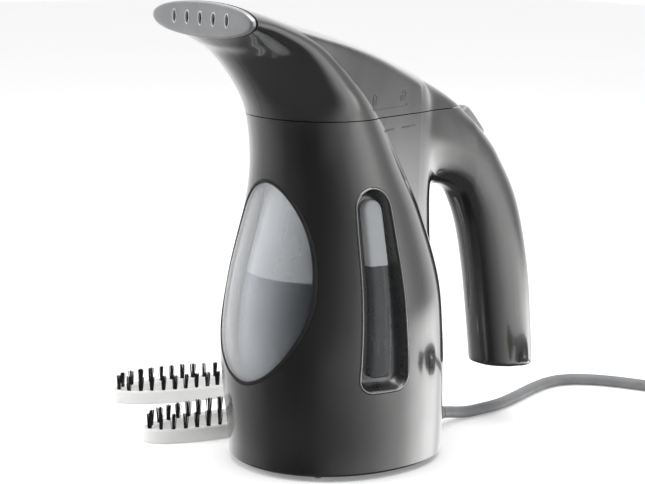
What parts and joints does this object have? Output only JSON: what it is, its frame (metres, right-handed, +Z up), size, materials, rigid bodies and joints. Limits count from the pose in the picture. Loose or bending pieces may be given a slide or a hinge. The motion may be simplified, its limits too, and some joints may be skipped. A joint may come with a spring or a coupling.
{
  "type": "handheld garment steamer",
  "caption": "Upright handheld garment steamer with water window, level gauge, hook handle, twist-off steam head, mains lead and loose fabric brushes.",
  "frame": {"origin": "on the floor under the middle of the box round the steamer and its brushes, the mains lead left out", "axes": "+Z up; the steam nozzle faces -Y; the hook handle is on the +Y side; the level gauge is on the +X side and the brushes lie on the -X side"},
  "size_m": [0.3258, 0.4078, 0.256],
  "materials": {
    "shell_grey": "gloss lacquered gunmetal grey",
    "window_clear": "clear smoked, polished",
    "gasket_black": "satin",
    "bezel_grey": "gloss",
    "gauge_clear": "clear, polished",
    "tank_clear": "clear, polished",
    "deck_black": "fine texture",
    "seal_rubber": "matte",
    "duct_white": "matte",
    "nozzle_silver": "silver paint, satin",
    "nozzle_rubber": "matte",
    "base_black": "fine texture",
    "foot_rubber": "matte",
    "screw_steel": "zinc plated",
    "boiler_aluminium": "as cast",
    "element_steel": "drawn sheath",
    "boiler_rubber": "silicone, matte",
    "thermostat_ceramic": "ceramic, matte",
    "button_grey": "satin gloss",
    "switch_black": "matte",
    "lead_grey": "satin sheath",
    "pin_brass": "plated, polished",
    "tie_black": "satin",
    "brush_white": "gloss",
    "bristle_black": "nylon bristle"
  },
  "bodies": {
    "body": {"body_shell_left": "shell_grey", "body_shell_right": "shell_grey", "front_window": "window_clear", "window_gasket": "gasket_black", "gauge_bezel": "bezel_grey", "gauge_lens": "gauge_clear", "water_tank": "tank_clear", "tank_deck": "deck_black", "base_plate": "base_black", "base_screw_1": "screw_steel", "base_screw_2": "screw_steel", "base_screw_3": "screw_steel", "base_screw_4": "screw_steel", "deck_screw_1": "screw_steel", "deck_screw_2": "screw_steel", "foot_left_front": "foot_rubber", "foot_right_front": "foot_rubber", "foot_left_rear": "foot_rubber", "foot_right_rear": "foot_rubber", "boiler_cup": "boiler_aluminium", "boiler_gasket": "boiler_rubber", "heating_element": "element_steel", "thermostat": "thermostat_ceramic", "thermal_fuse": "thermostat_ceramic", "switch_housing": "switch_black", "strain_relief": "lead_grey", "cord_run": "lead_grey", "cord_coil": "lead_grey", "cord_tail": "lead_grey", "plug_body": "lead_grey", "cord_tie": "tie_black", "plug_pin_1": "pin_brass", "plug_pin_2": "pin_brass"},
    "head_carriage": {"mouth_seal": "seal_rubber"},
    "steam_head": {"head_shell_left": "shell_grey", "head_shell_right": "shell_grey", "head_floor": "deck_black", "steam_duct": "duct_white", "nozzle_gasket": "nozzle_rubber", "nozzle_plate": "nozzle_silver", "head_screw_1": "screw_steel", "head_screw_2": "screw_steel"},
    "button": {"power_button": "button_grey"},
    "brush_front": {"brush_front_frame": "brush_white", "brush_front_bristles": "bristle_black"},
    "brush_rear": {"brush_rear_frame": "brush_white", "brush_rear_bristles": "bristle_black"}
  },
  "joints": [
    {"name": "head_lift", "type": "slide", "parent": "body", "child": "head_carriage", "axis": [0, 0, 1], "range_m": [0, 0.07]},
    {"name": "head_twist", "type": "hinge", "parent": "head_carriage", "child": "steam_head", "pos_m": [0.05765, -0.04454, 0.1939], "axis": [0, 0, 1], "range_deg": [0, 20]},
    {"name": "button_press", "type": "slide", "parent": "body", "child": "button", "axis": [0, -0.6428, -0.766], "range_m": [0, 0.002], "stiffness_N_per_m": 600},
    {"name": "brush_front_lift", "type": "slide", "parent": "body", "child": "brush_front", "axis": [0, 0, 1], "range_m": [0, 0.06]},
    {"name": "brush_rear_lift", "type": "slide", "parent": "body", "child": "brush_rear", "axis": [0, 0, 1], "range_m": [0, 0.06]}
  ]
}
